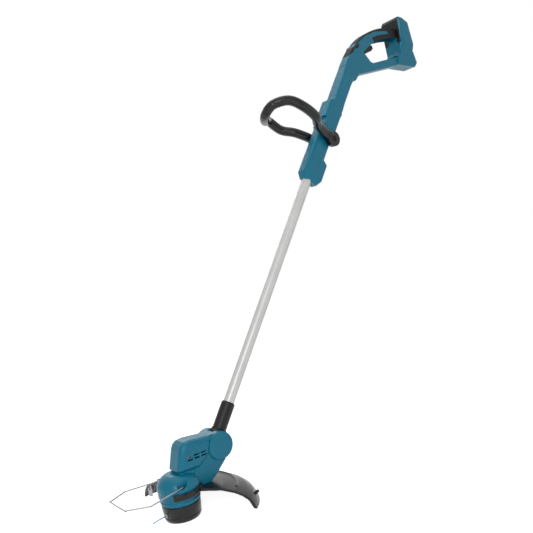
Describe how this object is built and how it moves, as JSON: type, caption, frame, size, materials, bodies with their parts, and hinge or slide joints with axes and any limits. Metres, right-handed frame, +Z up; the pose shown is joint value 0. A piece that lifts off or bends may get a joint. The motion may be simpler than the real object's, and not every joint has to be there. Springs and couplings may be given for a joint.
{
  "type": "string trimmer",
  "caption": "Cordless string trimmer with a tilting motor head, bump-feed spool, rear deflector, fold-up wire guard, straight alloy tube, loop handle and closed rear grip.",
  "frame": {"origin": "centre of the bump knob's lower face, on the spool's axis", "axes": "+Z up along the spool's axis, +X towards the user behind the head, +Y to the user's right as seen from the head"},
  "size_m": [1.0978, 0.2897, 1.1065],
  "materials": {
    "teal_plastic": "moulded, satin gloss",
    "black_plastic": "fine moulded grain",
    "gloss_black": "moulded, semi gloss",
    "guard_plastic": "tough moulded, semi gloss",
    "rubber": "soft moulded",
    "aluminium_tube": "satin anodised",
    "steel": "bright zinc",
    "blackened_steel": "blackened",
    "copper": "bright copper",
    "magnet": "sintered",
    "carbon": "carbon block",
    "board": "lacquered board",
    "lead_sheath": "flexible sheath",
    "die_cast": "die cast",
    "blue_nylon": "translucent nylon"
  },
  "bodies": {
    "handle": {"handle_shell_left": "teal_plastic", "handle_shell_right": "teal_plastic", "grip_rubber": "rubber", "rear_bumper": "black_plastic", "handle_screws": "blackened_steel", "trigger_pin": "steel", "trigger_spring": "steel", "lock_off_spring": "steel", "switch_module": "black_plastic", "control_board": "board", "terminal_block": "black_plastic", "terminal_blades": "copper", "power_leads": "lead_sheath", "main_tube": "aluminium_tube", "tube_bush": "black_plastic", "tube_screws": "steel", "pivot_sleeve": "black_plastic"},
    "trigger": {"trigger": "black_plastic"},
    "lock_off": {"lock_off_button": "black_plastic"},
    "loop": {"loop_handle": "gloss_black", "loop_bolt": "blackened_steel", "loop_nut": "blackened_steel"},
    "head": {"head_shell_left": "teal_plastic", "head_shell_right": "teal_plastic", "pivot_cap_left": "teal_plastic", "pivot_cap_right": "teal_plastic", "pivot_bolt": "steel", "detent_plunger": "steel", "detent_spring": "steel", "head_screws": "blackened_steel", "motor_can": "steel", "motor_magnets": "magnet", "motor_end_bell": "black_plastic", "motor_bearings": "steel", "carbon_brushes": "carbon", "motor_leads": "lead_sheath", "gear_plate": "die_cast", "spindle_bearings": "steel", "base_skirt": "teal_plastic", "protector": "guard_plastic", "protector_screws": "blackened_steel", "line_cutter": "steel", "cutter_screws": "steel"},
    "wire_guard": {"wire_guard": "steel"},
    "rotor": {"rotor_shaft": "steel", "rotor_core": "steel", "rotor_windings": "copper", "commutator": "copper", "cooling_fan": "black_plastic", "motor_pinion": "steel"},
    "spool": {"spindle": "steel", "spindle_gear": "black_plastic", "spool_housing": "gloss_black", "spool_cover": "gloss_black", "line_eyelet": "steel", "cutting_line": "blue_nylon", "feed_spring": "steel"},
    "knob": {"bump_knob": "black_plastic", "line_reel": "black_plastic", "wound_line": "blue_nylon"}
  },
  "joints": [
    {"name": "loop_tilt", "type": "hinge", "parent": "handle", "child": "loop", "pos_m": [0.57082, 0, 0.76751], "axis": [0, 1, 0], "range_deg": [-35, 0]},
    {"name": "trigger_pull", "type": "hinge", "parent": "handle", "child": "trigger", "pos_m": [0.75605, 0, 1.01853], "axis": [0, 1, 0], "range_deg": [-8, 0], "stiffness_Nm_per_rad": 0.9, "springref_deg": 20.05},
    {"name": "lock_press", "type": "slide", "parent": "handle", "child": "lock_off", "axis": [0, 1, 0], "range_m": [0, 0.003], "stiffness_N_per_m": 400, "springref_m": -0.0015},
    {"name": "head_tilt", "type": "hinge", "parent": "handle", "child": "head", "pos_m": [0.1, 0, 0.123], "axis": [0, 1, 0], "range_deg": [-30, 15]},
    {"name": "guard_fold", "type": "hinge", "parent": "head", "child": "wire_guard", "pos_m": [-0.008, 0, 0.074], "axis": [0, 1, 0], "range_deg": [0, 100]},
    {"name": "spool_spin", "type": "hinge", "parent": "head", "child": "spool", "pos_m": [0, 0, 0.05], "axis": [0, 0, 1], "continuous": true},
    {"name": "rotor_spin", "type": "hinge", "parent": "head", "child": "rotor", "pos_m": [0.031, 0, 0.1], "axis": [0, 0, 1], "continuous": true},
    {"name": "knob_press", "type": "slide", "parent": "spool", "child": "knob", "axis": [0, 0, 1], "range_m": [0, 0.005], "stiffness_N_per_m": 900, "springref_m": -0.003, "deforming": ["feed_spring"]}
  ],
  "couplings": [
    {"joint": "rotor_spin", "follows": "spool_spin", "ratio": -3.7692}
  ]
}
